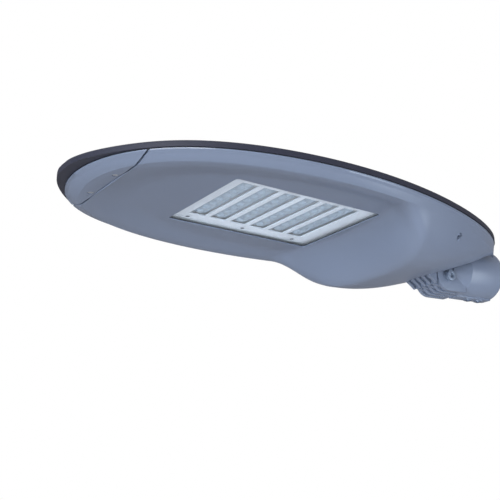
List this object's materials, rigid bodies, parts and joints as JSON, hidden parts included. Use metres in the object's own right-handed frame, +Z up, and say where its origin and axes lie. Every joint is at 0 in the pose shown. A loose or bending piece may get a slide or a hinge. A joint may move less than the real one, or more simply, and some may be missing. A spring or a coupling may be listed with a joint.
{
  "type": "street_light_head",
  "caption": "Flat oval LED street light head with a dark top cover, glazed LED window and a tilting spigot for a pole",
  "frame": {"origin": "centre of the spigot socket's mouth", "axes": "+X runs out of the socket along the pole end, +Z is up with the head set level, +Y is to the right seen from the nose"},
  "size_m": [0.6652, 0.3286, 0.1039],
  "materials": {
    "cover_paint": "dark grey powder coat, satin",
    "body_paint": "blue-grey powder coat, satin",
    "seal": "black sealing rubber, matt",
    "screw_steel": "stainless steel, lightly brushed",
    "sheet_steel": "zinc plated sheet",
    "window_glass": "flat toughened glass, clear",
    "white_paint": "white powder coat, satin",
    "board_white": "solder resist, pale blue-grey",
    "lens_clear": "clear moulded lens plastic",
    "sink_aluminium": "bare cast aluminium",
    "driver_case": "light grey enamel",
    "black_plastic": "black polyamide",
    "white_plastic": "off-white polyamide"
  },
  "bodies": {
    "spigot": {"spigot": "body_paint", "socket_screws": "screw_steel", "tilt_bolt": "screw_steel", "tilt_washers": "screw_steel", "tilt_nut": "screw_steel"},
    "head": {"top_cover": "cover_paint", "cover_seal": "seal", "housing": "body_paint", "nose_cap": "body_paint", "nose_screws": "screw_steel", "cover_screws": "screw_steel", "window_glass": "window_glass", "glass_seal": "seal", "glass_clips": "sheet_steel", "clip_screws": "screw_steel", "slot_plate": "white_paint", "plate_screws": "screw_steel", "led_board_1": "board_white", "led_board_2": "board_white", "led_board_3": "board_white", "led_board_4": "board_white", "led_board_5": "board_white", "led_board_6": "board_white", "lens_strip_1": "lens_clear", "lens_strip_2": "lens_clear", "lens_strip_3": "lens_clear", "lens_strip_4": "lens_clear", "lens_strip_5": "lens_clear", "lens_strip_6": "lens_clear", "heat_sink": "sink_aluminium", "sink_screws": "screw_steel", "gear_tray": "sheet_steel", "tray_screws": "screw_steel", "led_driver": "driver_case", "driver_screws": "screw_steel", "surge_protector": "black_plastic", "terminal_block": "white_plastic", "cable_gland": "black_plastic", "gland_nut": "black_plastic"}
  },
  "joints": [
    {"name": "head_tilt", "type": "hinge", "parent": "spigot", "child": "head", "pos_m": [-0.09725, 0, -0.01926], "axis": [0, 1, 0], "range_deg": [-92.5, 0]}
  ]
}
